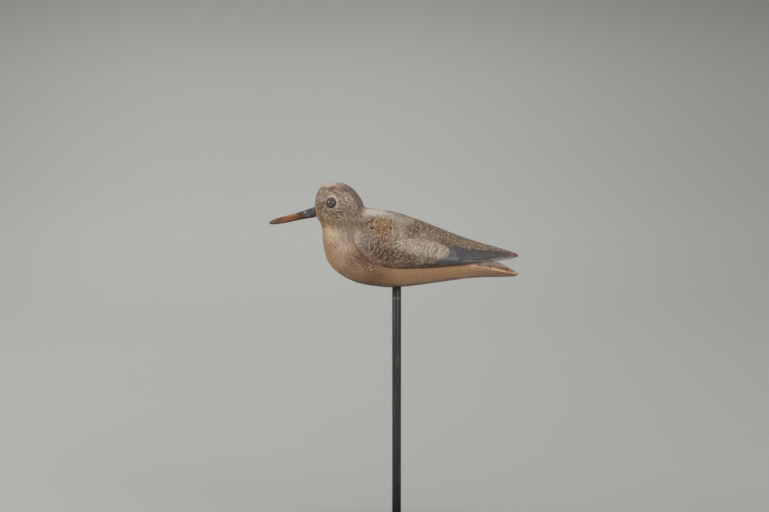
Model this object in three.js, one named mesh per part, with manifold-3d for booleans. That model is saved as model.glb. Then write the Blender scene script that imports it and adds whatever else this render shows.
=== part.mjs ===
// A carved wooden shorebird decoy with glass eyes, standing on a steel rod with a round foot plate.
// Millimetres. +Z is up, the bird faces -X, and the origin is the middle of the foot plate's underside.
// The bird is free carving: its pose and outline are shares of its length, in hundredths,
// measured from the rod's axis and from the lowest point of the belly.
import * as THREE from "three";
import { mergeVertices } from "three/addons/utils/BufferGeometryUtils.js";
import Module from "manifold-3d";

const birdLength = 250; // from the bill's tip to the wings' tips
const headWidth = 33;
const bodyWidth = 66;
const tailWidth = 38;
const wingRelief = 1.8; // the folded wing stands this far proud of the flank
const wingSplitLength = 14; // the cut that parts the two wing tips, seen from above
const wingSplitWidth = 4;

const billWidth = 9; // at the face
const billTenonLength = 12; // the part that is let into the head
const billTenonTaper = 0.6; // its inner end as a share of its size at the face
const eyeDiameter = 10;
const eyeBulge = 3.3; // how far the glass stands out of the face
const eyeSeatDepth = 3.5;
const eyeForwardTurn = 7; // degrees, from straight sideways toward the bill
const eyeUpwardTurn = 9; // degrees

const rodDiameter = 8.9;
const rodShownLength = 249; // from the foot plate to the belly
const rodSocketDepth = 24; // in the belly
const plateDiameter = 120;
const plateThickness = 12;
const plateEdge = 2; // the chamfer round the top
const rodSeatDepth = 9; // in the foot plate

const clearance = 0.3; // round every piece that is let into another

const sectionFullness = 0.86; // of the carving: 1 is an ellipse, and less is squarer
const ringPoints = 32; // round each section of the carving
const stepsPerRib = 3; // sections from one rib to the next
const eyeFacets = 24;
const rodFacets = 40;
const plateFacets = 64;

const share = birdLength / 100;
const bellyHeight = plateThickness + rodShownLength;

const paint = {
  plumage: new THREE.MeshStandardMaterial({ color: 0x8f7458, roughness: 0.6 }),
  bill: new THREE.MeshStandardMaterial({ color: 0x7a5638, roughness: 0.5 }),
  glass: new THREE.MeshStandardMaterial({ color: 0x2b1d18, roughness: 0.08 }),
  steel: new THREE.MeshStandardMaterial({ color: 0x414245, roughness: 0.45, metalness: 0.3 }),
};

const wasm = await Module();
wasm.setup();

// A closed geometry as a solid that can be joined and cut.
function solid(geometry) {
  const bare = geometry.clone();
  bare.deleteAttribute("normal");
  bare.deleteAttribute("uv");
  const merged = mergeVertices(bare, 1e-4);
  return new wasm.Manifold(
    new wasm.Mesh({
      numProp: 3,
      vertProperties: merged.attributes.position.array,
      triVerts: new Uint32Array(merged.index.array),
    }),
  );
}

function geometryOf(body) {
  const mesh = body.getMesh();
  const geometry = new THREE.BufferGeometry();
  geometry.setAttribute("position", new THREE.BufferAttribute(mesh.vertProperties, 3));
  geometry.setIndex(new THREE.BufferAttribute(mesh.triVerts, 1));
  geometry.computeVertexNormals();
  return geometry;
}

// A point of the side view, in hundredths of the bird's length: x is toward the tail from the rod's axis,
// and z is up from the belly.
function sidePoint([x, z]) {
  return new THREE.Vector3(x * share, 0, bellyHeight + z * share);
}

// A rib is a section of the carving, from a point of its top line to a point of its bottom line.
// Its half-widths near the top, at the middle and near the bottom are shares of half a named width.
function rib(top, bottom, width, upper, middle, lower) {
  return {
    top: sidePoint(top),
    bottom: sidePoint(bottom),
    half: new THREE.Vector3(upper, middle, lower).multiplyScalar(width / 2),
  };
}

// The same rib taken in all round, except at the bottom line, by the height of the wing's relief.
function takenIn({ top, bottom, half }, depth) {
  return {
    top: top.clone().add(bottom.clone().sub(top).setLength(depth)),
    bottom,
    half: half.clone().subScalar(depth),
  };
}

// The face, crown and neck.
const headRibs = [
  rib([-32.8, 31.8], [-32.6, 28.9], headWidth, 0.16, 0.2, 0.16),
  rib([-32.6, 34.7], [-31.7, 27.4], headWidth, 0.37, 0.47, 0.4),
  rib([-31.7, 38.3], [-30.8, 26.2], headWidth, 0.56, 0.64, 0.61),
  rib([-29.3, 41.2], [-30.1, 24.5], headWidth, 0.72, 0.79, 0.77),
  rib([-26.0, 42.1], [-29.7, 22.4], headWidth, 0.84, 0.91, 0.89),
  rib([-22.1, 42.0], [-29.6, 19.2], headWidth, 0.92, 1.0, 1.0),
  rib([-18.7, 40.5], [-29.0, 14.9], headWidth, 0.94, 1.01, 1.15),
  rib([-15.7, 37.6], [-27.8, 10.9], headWidth, 0.91, 1.06, 1.33),
  rib([-13.6, 34.2], [-25.8, 8.0], bodyWidth, 0.44, 0.59, 0.76),
];

// The shoulders, where the wings lie over the flank. The first rib is at the crease of the nape.
const shoulderRibs = [
  rib([-12.5, 32.0], [-22.9, 5.5], bodyWidth, 0.44, 0.72, 0.84),
  rib([-10.5, 31.9], [-19.5, 3.4], bodyWidth, 0.55, 0.85, 0.89),
  rib([-7.3, 31.5], [-14.9, 1.6], bodyWidth, 0.66, 0.955, 0.92),
  rib([-3.3, 30.8], [-9.3, 0.6], bodyWidth, 0.73, 1.0, 0.94),
  rib([1.5, 29.7], [-2.9, 0.0], bodyWidth, 0.75, 1.0, 0.94),
  rib([7.1, 27.7], [3.9, 0.4], bodyWidth, 0.73, 0.99, 0.93),
  rib([13.6, 25.3], [12.0, 1.4], bodyWidth, 0.67, 0.935, 0.88),
];

// The back and wings, from the body to the wing tips. What is under the wing's edge is cut away.
const wingRibs = [
  rib([20.4, 22.5], [20.4, 2.7], bodyWidth, 0.58, 0.83, 0.79),
  rib([27.2, 20.0], [27.2, 3.6], bodyWidth, 0.45, 0.65, 0.63),
  rib([33.6, 17.9], [33.6, 4.1], bodyWidth, 0.34, 0.48, 0.46),
  rib([39.6, 16.3], [39.6, 4.2], bodyWidth, 0.24, 0.32, 0.3),
  rib([44.8, 14.8], [44.8, 5.3], bodyWidth, 0.17, 0.21, 0.2),
  rib([47.8, 13.9], [47.8, 8.0], bodyWidth, 0.11, 0.14, 0.13),
  rib([49.0, 13.4], [49.0, 11.0], bodyWidth, 0.05, 0.06, 0.05),
];

// The rump under the wings, and the tail.
const tailRibs = [
  rib([20.4, 18.6], [20.4, 2.6], bodyWidth, 0.5, 0.75, 0.7),
  rib([27.2, 13.6], [27.2, 3.5], bodyWidth, 0.55, 0.62, 0.5),
  rib([32.6, 12.4], [32.6, 3.9], tailWidth, 0.6, 0.97, 0.7),
  rib([36.4, 12.2], [36.4, 4.1], tailWidth, 0.46, 0.98, 0.62),
  rib([39.9, 10.3], [39.9, 4.1], tailWidth, 0.4, 0.96, 0.6),
  rib([43.2, 8.9], [43.2, 4.2], tailWidth, 0.36, 0.85, 0.55),
  rib([45.9, 7.45], [45.9, 4.3], tailWidth, 0.28, 0.65, 0.42),
  rib([47.8, 6.3], [47.8, 4.5], tailWidth, 0.18, 0.4, 0.28),
  rib([48.9, 5.75], [48.9, 5.1], tailWidth, 0.07, 0.14, 0.1),
];

// The wing's front and lower edge in the side view, from the nape round the shoulder to the wing tip.
const wingEdge = [
  [-12.7, 32.0], [-14.9, 27.7], [-16.7, 23.8], [-17.4, 20.3], [-17.0, 17.7], [-15.5, 15.5],
  [-13.1, 13.0], [-9.1, 10.2], [-4.4, 8.8], [1.3, 8.25], [6.7, 8.3], [12.8, 8.6], [20.0, 9.2],
  [29.1, 9.9], [35.5, 10.3], [41.2, 10.9], [45.3, 11.45], [48.3, 12.25], [50.0, 13.0],
];

const billTop = [[-50.3, 26.7], [-48.3, 27.6], [-43.8, 28.8], [-38.6, 30.3], [-33.1, 32.2]];
const billBottom = [[-50.4, 25.3], [-48.0, 25.3], [-43.8, 26.0], [-38.6, 27.1], [-32.8, 28.1]];
const billHalfWidths = [0.36, 0.6, 0.68, 0.84, 1.0]; // shares of half the bill's width
const billTipPoint = [-51.0, 25.9];
const eyePoint = [-26.1, 34.0];

// One section of the carving, as a ring of points down one side and up the other.
function ring(top, bottom, half, count, fullness) {
  return Array.from({ length: count }, (_, i) => {
    const turn = (2 * Math.PI * i) / count;
    const down = (1 - Math.cos(turn)) / 2;
    const up = 1 - down;
    const blend = new THREE.Vector3(up * (up - down), 4 * up * down, down * (down - up));
    const out = Math.abs(Math.sin(turn)) ** fullness;
    const point = top.clone().lerp(bottom, down);
    point.y = Math.sign(Math.sin(turn)) * out * half.dot(blend);
    return point;
  });
}

// Rings all the way along a row of ribs, on smooth curves through them.
function ringsThrough(ribs) {
  const curve = (key) => new THREE.CatmullRomCurve3(ribs.map((r) => r[key]), false, "catmullrom");
  const [tops, bottoms, halves] = ["top", "bottom", "half"].map(curve);
  const steps = (ribs.length - 1) * stepsPerRib;
  return Array.from({ length: steps + 1 }, (_, i) => {
    const t = i / steps;
    return ring(tops.getPoint(t), bottoms.getPoint(t), halves.getPoint(t), ringPoints, sectionFullness);
  });
}

// A closed skin over rings of equal count. Each end closes on a point, by default its last ring's middle.
function skin(rings, first, last) {
  const middle = (points) =>
    points.reduce((sum, p) => sum.add(p), new THREE.Vector3()).divideScalar(points.length);
  const count = rings[0].length;
  const points = [...rings.flat(), first ?? middle(rings[0]), last ?? middle(rings.at(-1))];
  const faces = [];
  for (let i = 0; i < count; i++) {
    const next = (i + 1) % count;
    faces.push(points.length - 2, i, next);
    for (let r = 0; r < rings.length - 1; r++) {
      const near = r * count;
      const far = near + count;
      faces.push(near + i, far + next, near + next, near + i, far + i, far + next);
    }
    const end = (rings.length - 1) * count;
    faces.push(end + i, points.length - 1, end + next);
  }
  const geometry = new THREE.BufferGeometry().setFromPoints(points);
  geometry.setIndex(faces);
  return geometry;
}

// What lies above and behind the wing's edge, right through the bird.
function behindWingEdge() {
  const edge = wingEdge.map((point) => sidePoint(point));
  const smooth = new THREE.CatmullRomCurve3(edge, false, "catmullrom");
  const outline = smooth.getPoints(edge.length * stepsPerRib);
  const above = edge[0].z + bodyWidth;
  const shape = new THREE.Shape([
    ...outline.map((p) => new THREE.Vector2(p.x, p.z)),
    new THREE.Vector2(edge.at(-1).x, above),
    new THREE.Vector2(edge[0].x, above),
  ]);
  const through = 2 * bodyWidth;
  const block = new THREE.ExtrudeGeometry(shape, { depth: through, bevelEnabled: false });
  return block.rotateX(Math.PI / 2).translate(0, through / 2, 0);
}

// The narrow wedge that parts the wing tips.
function wingSplit() {
  const tip = sidePoint(wingEdge.at(-1));
  const shape = new THREE.Shape([
    new THREE.Vector2(tip.x - wingSplitLength, 0),
    new THREE.Vector2(tip.x, -wingSplitWidth / 2),
    new THREE.Vector2(tip.x + wingSplitWidth, -wingSplitWidth / 2),
    new THREE.Vector2(tip.x + wingSplitWidth, wingSplitWidth / 2),
    new THREE.Vector2(tip.x, wingSplitWidth / 2),
  ]);
  const wedge = new THREE.ExtrudeGeometry(shape, { depth: 2 * bodyWidth, bevelEnabled: false });
  return wedge.translate(0, 0, tip.z - bodyWidth);
}

// The bill with its tenon, or the socket for it when it is grown by the clearance.
function billSkin(grown) {
  const sections = billTop.map((top, i) => ({
    top: sidePoint(top),
    bottom: sidePoint(billBottom[i]),
    half: (billHalfWidths[i] * billWidth) / 2,
  }));
  const face = sections.at(-1);
  const centre = (s) => s.top.clone().lerp(s.bottom, 0.5);
  const inward = centre(face).sub(centre(sections.at(-2))).setLength(1);
  const tenonEnd = centre(face).addScaledVector(inward, billTenonLength);
  const arm = face.top.clone().sub(centre(face)).multiplyScalar(billTenonTaper);
  sections.push({
    top: tenonEnd.clone().add(arm),
    bottom: tenonEnd.clone().sub(arm),
    half: face.half * billTenonTaper,
  });
  const rings = sections.map(({ top, bottom, half }) => {
    const out = top.clone().sub(bottom).setLength(grown);
    const width = new THREE.Vector3(1, 1, 1).multiplyScalar(half + grown);
    return ring(top.clone().add(out), bottom.clone().sub(out), width, ringPoints / 2, 1);
  });
  const tip = sidePoint(billTipPoint).addScaledVector(inward, -grown);
  return skin(rings, tip, tenonEnd.addScaledVector(inward, grown));
}

// A glass eye set in the face, whose surface there is faceOut from the middle of the head.
// side is 1 for the far side and -1 for the near one. The socket for it is grown by the clearance.
function eyeShape(side, faceOut, grown) {
  const radius = eyeDiameter / 2 + grown;
  const bulge = eyeBulge + grown;
  const arcSteps = 7;
  const seat = -eyeSeatDepth - grown;
  const profile = [new THREE.Vector2(0, seat), new THREE.Vector2(radius, seat)];
  for (let i = 0; i <= arcSteps; i++) {
    const lift = (i / arcSteps) * (Math.PI / 2);
    profile.push(new THREE.Vector2(i === arcSteps ? 0 : radius * Math.cos(lift), bulge * Math.sin(lift)));
  }
  const centre = sidePoint(eyePoint);
  const turn = THREE.MathUtils.degToRad(eyeForwardTurn);
  return new THREE.LatheGeometry(profile, eyeFacets)
    .rotateX(THREE.MathUtils.degToRad(eyeUpwardTurn))
    .rotateZ(side > 0 ? turn : Math.PI - turn)
    .translate(centre.x, side * faceOut, centre.z);
}

function cylinder(diameter, bottom, top) {
  const length = top - bottom;
  return new THREE.CylinderGeometry(diameter / 2, diameter / 2, length, rodFacets)
    .rotateX(Math.PI / 2)
    .translate(0, 0, bottom + length / 2);
}

// Head, body and tail under the wings, with the wings laid over them, carved as one block.
function carvedBird() {
  const flankRibs = shoulderRibs.map((r) => takenIn(r, wingRelief));
  const core = solid(skin(ringsThrough([...headRibs, ...flankRibs, ...tailRibs])));
  const back = solid(skin(ringsThrough([...headRibs.slice(-2), ...shoulderRibs, ...wingRibs])));
  const wings = back.intersect(solid(behindWingEdge())).subtract(solid(wingSplit()));
  return core.add(wings);
}

// Where the face is at the eye, measured out from the middle of the head.
function faceAtEye(geometry) {
  const from = sidePoint(eyePoint).setY(2 * bodyWidth);
  const inward = new THREE.Raycaster(from, new THREE.Vector3(0, -1, 0));
  return inward.intersectObject(new THREE.Mesh(geometry))[0].point.y;
}

const uncutBird = carvedBird();
const faceOut = faceAtEye(geometryOf(uncutBird));
const rodTop = bellyHeight + rodSocketDepth;
const rodSocket = cylinder(rodDiameter + 2 * clearance, bellyHeight - rodSocketDepth, rodTop + clearance);
const carving = uncutBird
  .subtract(solid(billSkin(clearance)))
  .subtract(solid(eyeShape(1, faceOut, clearance)))
  .subtract(solid(eyeShape(-1, faceOut, clearance)))
  .subtract(solid(rodSocket));

function footPlate() {
  const radius = plateDiameter / 2;
  const hole = rodDiameter / 2 + clearance;
  const floor = plateThickness - rodSeatDepth - clearance;
  const profile = [
    [0, 0], [radius - plateEdge / 2, 0], [radius, plateEdge / 2], [radius, plateThickness - plateEdge],
    [radius - plateEdge, plateThickness], [hole, plateThickness], [hole, floor], [0, floor],
  ].map(([r, z]) => new THREE.Vector2(r, z));
  return new THREE.LatheGeometry(profile, plateFacets).rotateX(Math.PI / 2);
}

function piece(name, geometry, material) {
  const mesh = new THREE.Mesh(geometry, material);
  mesh.name = name;
  return mesh;
}

const decoy = new THREE.Group();
decoy.name = "shorebird_decoy";
decoy.add(
  piece("decoy_body", geometryOf(carving), paint.plumage),
  piece("bill", billSkin(0), paint.bill),
  piece("glass_eye_left", eyeShape(-1, faceOut, 0), paint.glass),
  piece("glass_eye_right", eyeShape(1, faceOut, 0), paint.glass),
  piece("stand_rod", cylinder(rodDiameter, plateThickness - rodSeatDepth, rodTop), paint.steel),
  piece("stand_base", footPlate(), paint.steel),
);

export default decoy;
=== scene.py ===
import math
from itertools import product

import bmesh
import bpy
import numpy as np
from mathutils import Euler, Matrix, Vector


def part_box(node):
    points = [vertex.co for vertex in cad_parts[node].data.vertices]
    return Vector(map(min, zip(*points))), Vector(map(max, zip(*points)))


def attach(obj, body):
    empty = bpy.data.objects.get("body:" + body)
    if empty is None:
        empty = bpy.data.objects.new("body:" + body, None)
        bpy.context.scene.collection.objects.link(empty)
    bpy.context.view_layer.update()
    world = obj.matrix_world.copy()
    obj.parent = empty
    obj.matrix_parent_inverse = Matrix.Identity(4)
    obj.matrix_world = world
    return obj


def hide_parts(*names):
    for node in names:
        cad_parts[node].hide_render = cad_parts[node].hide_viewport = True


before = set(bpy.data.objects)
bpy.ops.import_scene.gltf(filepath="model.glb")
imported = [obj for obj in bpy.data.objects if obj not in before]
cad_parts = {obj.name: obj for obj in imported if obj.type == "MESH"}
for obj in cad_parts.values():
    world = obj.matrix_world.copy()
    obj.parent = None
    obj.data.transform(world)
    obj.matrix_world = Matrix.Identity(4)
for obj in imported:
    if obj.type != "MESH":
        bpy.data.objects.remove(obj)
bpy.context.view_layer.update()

MM = 0.001
BIRD_LENGTH = 250 * MM
HEAD_WIDTH = 33 * MM
BODY_WIDTH = 66 * MM
TAIL_WIDTH = 38 * MM
WING_RELIEF = 1.8 * MM
WING_SPLIT_LENGTH = 14 * MM
WING_SPLIT_WIDTH = 4 * MM
BILL_WIDTH = 9 * MM
BILL_TENON_LENGTH = 12 * MM
BILL_TENON_TAPER = 0.6
EYE_DIAMETER = 10 * MM
EYE_BULGE = 3.3 * MM
EYE_SEAT_DEPTH = 3.5 * MM
EYE_FORWARD_TURN = math.radians(7)
EYE_UPWARD_TURN = math.radians(9)
ROD_SHOWN_LENGTH = 249 * MM
SECTION_FULLNESS = 0.86

# The carving is drawn in hundredths of the bird's length, from the rod's axis and from the belly.
SHARE = BIRD_LENGTH / 100
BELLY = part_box("stand_base")[1].z + ROD_SHOWN_LENGTH
THIN_TIPS_FROM = 44

# The coats of paint are placed as the photograph shows them: it looks down on the flank a little.
FLANK_LEAN = 0.061

VOXEL = 0.75 * MM
RING_POINTS = 200
STEPS_PER_RIB = 12

# The knife's work that is laid over the form.
GROOVE_DEPTH = 0.45 * MM
WING_SWELL = 0.25 * MM
KNIFE_WAVES = 0.1 * MM
CROWN_TRIM = 0.15 * MM
LID_HEIGHT = 0.45 * MM
EYE_SEAT_SINK = 1.6 * MM


def rib(top, bottom, upper, middle, lower, width=BODY_WIDTH):
    """A section: its top and bottom in the side view, and its half-widths at three heights."""
    half = np.array([upper, middle, lower]) * width / 2 / SHARE
    return np.array([*top, *bottom, *half])


HEAD_RIBS = [
    rib((-32.8, 31.8), (-32.6, 28.9), 0.16, 0.2, 0.16, HEAD_WIDTH),
    rib((-32.6, 34.7), (-31.7, 27.4), 0.37, 0.47, 0.4, HEAD_WIDTH),
    rib((-31.7, 38.3), (-30.8, 26.2), 0.56, 0.64, 0.61, HEAD_WIDTH),
    rib((-29.3, 41.2), (-30.1, 24.5), 0.72, 0.79, 0.77, HEAD_WIDTH),
    rib((-26.0, 42.1), (-29.7, 22.4), 0.84, 0.91, 0.89, HEAD_WIDTH),
    rib((-22.1, 42.0), (-29.6, 19.2), 0.92, 1.0, 1.0, HEAD_WIDTH),
    rib((-18.7, 40.5), (-29.0, 14.9), 0.94, 1.01, 1.15, HEAD_WIDTH),
    rib((-15.7, 37.6), (-27.8, 10.9), 0.91, 1.06, 1.33, HEAD_WIDTH),
    rib((-13.6, 34.2), (-25.8, 8.0), 0.44, 0.59, 0.76),
]
SHOULDER_RIBS = [
    rib((-12.5, 32.0), (-22.9, 5.5), 0.44, 0.72, 0.84),
    rib((-10.5, 31.9), (-19.5, 3.4), 0.55, 0.85, 0.89),
    rib((-7.3, 31.5), (-14.9, 1.6), 0.66, 0.955, 0.92),
    rib((-3.3, 30.8), (-9.3, 0.6), 0.73, 1.0, 0.94),
    rib((1.5, 29.7), (-2.9, 0.0), 0.75, 1.0, 0.94),
    rib((7.1, 27.7), (3.9, 0.4), 0.73, 0.99, 0.93),
    rib((13.6, 25.3), (12.0, 1.4), 0.67, 0.935, 0.88),
]
WING_RIBS = [
    rib((20.4, 22.5), (20.4, 2.7), 0.58, 0.83, 0.79),
    rib((27.2, 20.0), (27.2, 3.6), 0.45, 0.65, 0.63),
    rib((33.6, 17.9), (33.6, 4.1), 0.34, 0.48, 0.46),
    rib((39.6, 16.3), (39.6, 4.2), 0.24, 0.32, 0.3),
    rib((44.8, 14.8), (44.8, 5.3), 0.17, 0.21, 0.2),
    rib((47.8, 13.9), (47.8, 8.0), 0.11, 0.14, 0.13),
    rib((49.0, 13.4), (49.0, 11.0), 0.05, 0.06, 0.05),
]
TAIL_RIBS = [
    rib((20.4, 18.6), (20.4, 2.6), 0.5, 0.75, 0.7),
    rib((27.2, 13.6), (27.2, 3.5), 0.55, 0.62, 0.5),
    rib((32.6, 12.4), (32.6, 3.9), 0.6, 0.97, 0.7, TAIL_WIDTH),
    rib((36.4, 12.2), (36.4, 4.1), 0.46, 0.98, 0.62, TAIL_WIDTH),
    rib((39.9, 10.3), (39.9, 4.1), 0.4, 0.96, 0.6, TAIL_WIDTH),
    rib((43.2, 8.9), (43.2, 4.2), 0.36, 0.85, 0.55, TAIL_WIDTH),
    rib((45.9, 7.45), (45.9, 4.3), 0.28, 0.65, 0.42, TAIL_WIDTH),
    rib((47.8, 6.3), (47.8, 4.5), 0.18, 0.4, 0.28, TAIL_WIDTH),
    rib((48.9, 5.75), (48.9, 5.1), 0.07, 0.14, 0.1, TAIL_WIDTH),
]
# The folded wing's front and lower edge in the side view.
WING_EDGE = [
    (-12.7, 32.0), (-14.9, 27.7), (-16.7, 23.8), (-17.4, 20.3), (-17.0, 17.7), (-15.5, 15.5),
    (-13.1, 13.0), (-9.1, 10.2), (-4.4, 8.8), (1.3, 8.25), (6.7, 8.3), (12.8, 8.6), (20.0, 9.2),
    (29.1, 9.9), (35.5, 10.3), (41.2, 10.9), (45.3, 11.45), (48.3, 12.25), (50.0, 13.0),
]
BILL_TOP = [(-50.3, 26.7), (-48.3, 27.6), (-43.8, 28.8), (-38.6, 30.3), (-33.1, 32.2)]
BILL_BOTTOM = [(-50.4, 25.3), (-48.0, 25.3), (-43.8, 26.0), (-38.6, 27.1), (-32.8, 28.1)]
BILL_HALF_WIDTHS = [0.36, 0.6, 0.68, 0.84, 1.0]
BILL_TIP = (-51.0, 25.9)
EYE = (-26.1, 34.0)


# Curves and meshes

def smooth_rows(rows, steps):
    """Rows on a smooth curve through the given rows, with so many steps from each to the next."""
    rows = np.asarray(rows, float)
    padded = np.vstack([2 * rows[0] - rows[1], rows, 2 * rows[-1] - rows[-2]])
    place = np.linspace(0, len(rows) - 1, (len(rows) - 1) * steps + 1)
    index = np.minimum(place.astype(int), len(rows) - 2)
    t = (place - index)[:, None]
    a, b, c, d = (padded[index + k] for k in range(4))
    return b + t / 2 * (c - a + t * (2 * a - 5 * b + 4 * c - d + t * (3 * (b - c) + d - a)))


def to_metres(points):
    """Points from the carving's hundredths to the model's frame."""
    return points * SHARE + np.array([0, 0, BELLY])


def section_rings(rows, count, fullness):
    """One ring of points for each row of top, bottom and half-widths."""
    turn = 2 * np.pi * np.arange(count) / count
    down = (1 - np.cos(turn)) / 2
    up = 1 - down
    blend = np.array([up * (up - down), 4 * up * down, down * (down - up)])
    out = np.sign(np.sin(turn)) * np.abs(np.sin(turn)) ** fullness
    x = np.outer(rows[:, 0], up) + np.outer(rows[:, 2], down)
    z = np.outer(rows[:, 1], up) + np.outer(rows[:, 3], down)
    y = (rows[:, 4:7] @ blend) * out
    return np.stack([x, y, z], axis=-1)


def mesh_object(name, points, faces):
    mesh = bpy.data.meshes.new(name)
    mesh.from_pydata([tuple(p) for p in points], [], faces)
    mesh.update()
    obj = bpy.data.objects.new(name, mesh)
    bpy.context.scene.collection.objects.link(obj)
    return obj


def ring_faces(rows, count):
    """Faces over rings of equal count, which close on the two points that follow the rings."""
    faces = []
    end = (rows - 1) * count
    for i in range(count):
        after = (i + 1) % count
        faces.append((rows * count, i, after))
        for near in range(0, end, count):
            faces.append((near + i, near + count + i, near + count + after, near + after))
        faces.append((end + i, rows * count + 1, end + after))
    return faces


def skin(name, rings, first=None):
    """A closed mesh over rings of equal count; each end closes on a point."""
    rows, count, _ = rings.shape
    first = rings[0].mean(0) if first is None else first
    points = to_metres(np.vstack([rings.reshape(-1, 3), first, rings[-1].mean(0)]))
    return outward(mesh_object(name, points, ring_faces(rows, count)))


def prism(name, near, far):
    """A closed solid between two outlines of equal count."""
    count = len(near)
    sides = [(i, (i + 1) % count, count + (i + 1) % count, count + i) for i in range(count)]
    caps = [tuple(reversed(range(count))), tuple(range(count, 2 * count))]
    return outward(mesh_object(name, [*near, *far], sides + caps))


def lathe(profile, count):
    """Points and faces of a closed form turned about Z.

    The profile's rows are radius and height; the first and the last lie on the axis.
    """
    profile = np.array(profile, float)
    turn = 2 * np.pi * np.arange(count) / count
    radius, height = profile[1:-1].T
    rings = np.stack([
        np.outer(radius, np.cos(turn)), np.outer(radius, np.sin(turn)),
        np.outer(height, np.ones(count)),
    ], axis=-1)
    points = np.vstack([rings.reshape(-1, 3), [0, 0, profile[0][1]], [0, 0, profile[-1][1]]])
    return points, ring_faces(len(radius), count)


def apply_modifiers(obj):
    graph = bpy.context.evaluated_depsgraph_get()
    mesh = bpy.data.meshes.new_from_object(obj.evaluated_get(graph))
    obj.modifiers.clear()
    obj.data = mesh


def combine(obj, other, operation):
    """Joins, cuts or intersects obj with another mesh, which is used up."""
    step = obj.modifiers.new("combine", "BOOLEAN")
    step.operation = operation
    step.solver = "MANIFOLD"
    step.object = other
    apply_modifiers(obj)
    bpy.data.objects.remove(other)


def outward(obj):
    """Turns all faces out."""
    work = bmesh.new()
    work.from_mesh(obj.data)
    bmesh.ops.recalc_face_normals(work, faces=work.faces)
    work.to_mesh(obj.data)
    work.free()
    return obj


def vertex_array(mesh, what="co"):
    values = np.zeros(len(mesh.vertices) * 3)
    mesh.vertices.foreach_get(what, values)
    return values.reshape(-1, 3)


def dress(obj, material):
    """Smooth shading and one material."""
    obj.data.polygons.foreach_set("use_smooth", np.ones(len(obj.data.polygons), bool))
    obj.data.materials.clear()
    obj.data.materials.append(material)


def add_layer(mesh, name, values):
    """A number, vector or colour for each vertex, which a material reads by its name."""
    kinds = {1: ("FLOAT", "value"), 3: ("FLOAT_VECTOR", "vector"), 4: ("FLOAT_COLOR", "color")}
    kind, field = kinds[values.size // len(values)]
    layer = mesh.attributes.new(name, kind, "POINT")
    layer.data.foreach_set(field, np.asarray(values, np.float32).ravel())


def lattice_noise(points, size, seed):
    """Smooth random values from -1 to 1 that change over the given size."""
    table = np.random.default_rng(seed).uniform(-1, 1, 4096)
    cell = np.floor(points / size).astype(np.int64)
    part = points / size - cell
    part = part * part * (3 - 2 * part)
    total = np.zeros(len(points))
    for corner in product((0, 1), repeat=3):
        key = (cell + corner) * (73856093, 19349663, 83492791)
        weight = np.where(corner, part, 1 - part).prod(1)
        total += weight * table[(key[:, 0] ^ key[:, 1] ^ key[:, 2]) % len(table)]
    return total


# The bird's form

def taken_in(row, depth):
    """The rib, taken in by a depth all round except at its bottom line."""
    row = row.copy()
    down = row[2:4] - row[0:2]
    row[0:2] += down / np.hypot(*down) * depth
    row[4:7] -= depth
    return row


def wing_outline():
    return smooth_rows(WING_EDGE, STEPS_PER_RIB)


def carved_block():
    """Head, body and tail, with the folded wings laid over them."""
    flank = [taken_in(r, WING_RELIEF / SHARE) for r in SHOULDER_RIBS]
    core_rows = smooth_rows(HEAD_RIBS + flank + TAIL_RIBS, STEPS_PER_RIB)
    back_rows = smooth_rows(HEAD_RIBS[-2:] + SHOULDER_RIBS + WING_RIBS, STEPS_PER_RIB)
    bird = skin("carved_bird", section_rings(core_rows, RING_POINTS, SECTION_FULLNESS))
    wings = skin("wings", section_rings(back_rows, RING_POINTS, SECTION_FULLNESS))
    edge = wing_outline()
    beyond = BODY_WIDTH / SHARE
    above = edge[0][1] + beyond
    outline = [*edge, (edge[-1][0], above), (edge[0][0], above)]
    near, far = (to_metres(np.array([(x, y, z) for x, z in outline])) for y in (-beyond, beyond))
    combine(wings, prism("above_edge", near, far), "INTERSECT")
    combine(wings, wing_split(), "DIFFERENCE")
    combine(bird, wings, "UNION")
    return bird


def wing_split():
    """The narrow wedge that parts the wing tips."""
    tip = to_metres(np.array([WING_EDGE[-1][0], 0, WING_EDGE[-1][1]]))
    half = WING_SPLIT_WIDTH / 2
    outline = [
        (tip[0] - WING_SPLIT_LENGTH, 0), (tip[0], -half), (tip[0] + half, -half),
        (tip[0] + half, half), (tip[0], half),
    ]
    low, high = ([(x, y, z) for x, y in outline] for z in (tip[2] - BODY_WIDTH, tip[2] + BODY_WIDTH))
    return prism("wing_split", low, high)


def remesh_evenly(obj):
    step = obj.modifiers.new("even", "REMESH")
    step.mode = "VOXEL"
    step.voxel_size = VOXEL
    apply_modifiers(obj)


def relax(mesh, rounds, strength):
    """Moves each vertex toward the middle of its neighbours, by one strength or one for each vertex."""
    strength = np.reshape(strength, (-1, 1))
    points = vertex_array(mesh)
    ends = np.zeros(len(mesh.edges) * 2, np.int64)
    mesh.edges.foreach_get("vertices", ends)
    ends = ends.reshape(-1, 2)
    a, b = ends[:, 0], ends[:, 1]
    degree = np.bincount(ends.ravel(), minlength=len(points))[:, None]
    for _ in range(rounds):
        total = np.stack([
            np.bincount(a, points[b, k], len(points)) + np.bincount(b, points[a, k], len(points))
            for k in range(3)
        ], axis=1)
        points += (total / degree - points) * strength
    mesh.vertices.foreach_set("co", points.ravel())
    mesh.update()


def distance_to_line(x, z, line):
    """How far each point of the side view is from a polyline."""
    line = np.asarray(line, float)
    nearest = np.full(len(x), np.inf)
    for (ax, az), (bx, bz) in zip(line[:-1], line[1:]):
        dx, dz = bx - ax, bz - az
        t = np.clip(((x - ax) * dx + (z - az) * dz) / (dx * dx + dz * dz), 0, 1)
        nearest = np.minimum(nearest, np.hypot(x - ax - t * dx, z - az - t * dz))
    return nearest


def side_view(points):
    """The x and z of points in hundredths."""
    return points[:, 0] / SHARE, (points[:, 2] - BELLY) / SHARE


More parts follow.
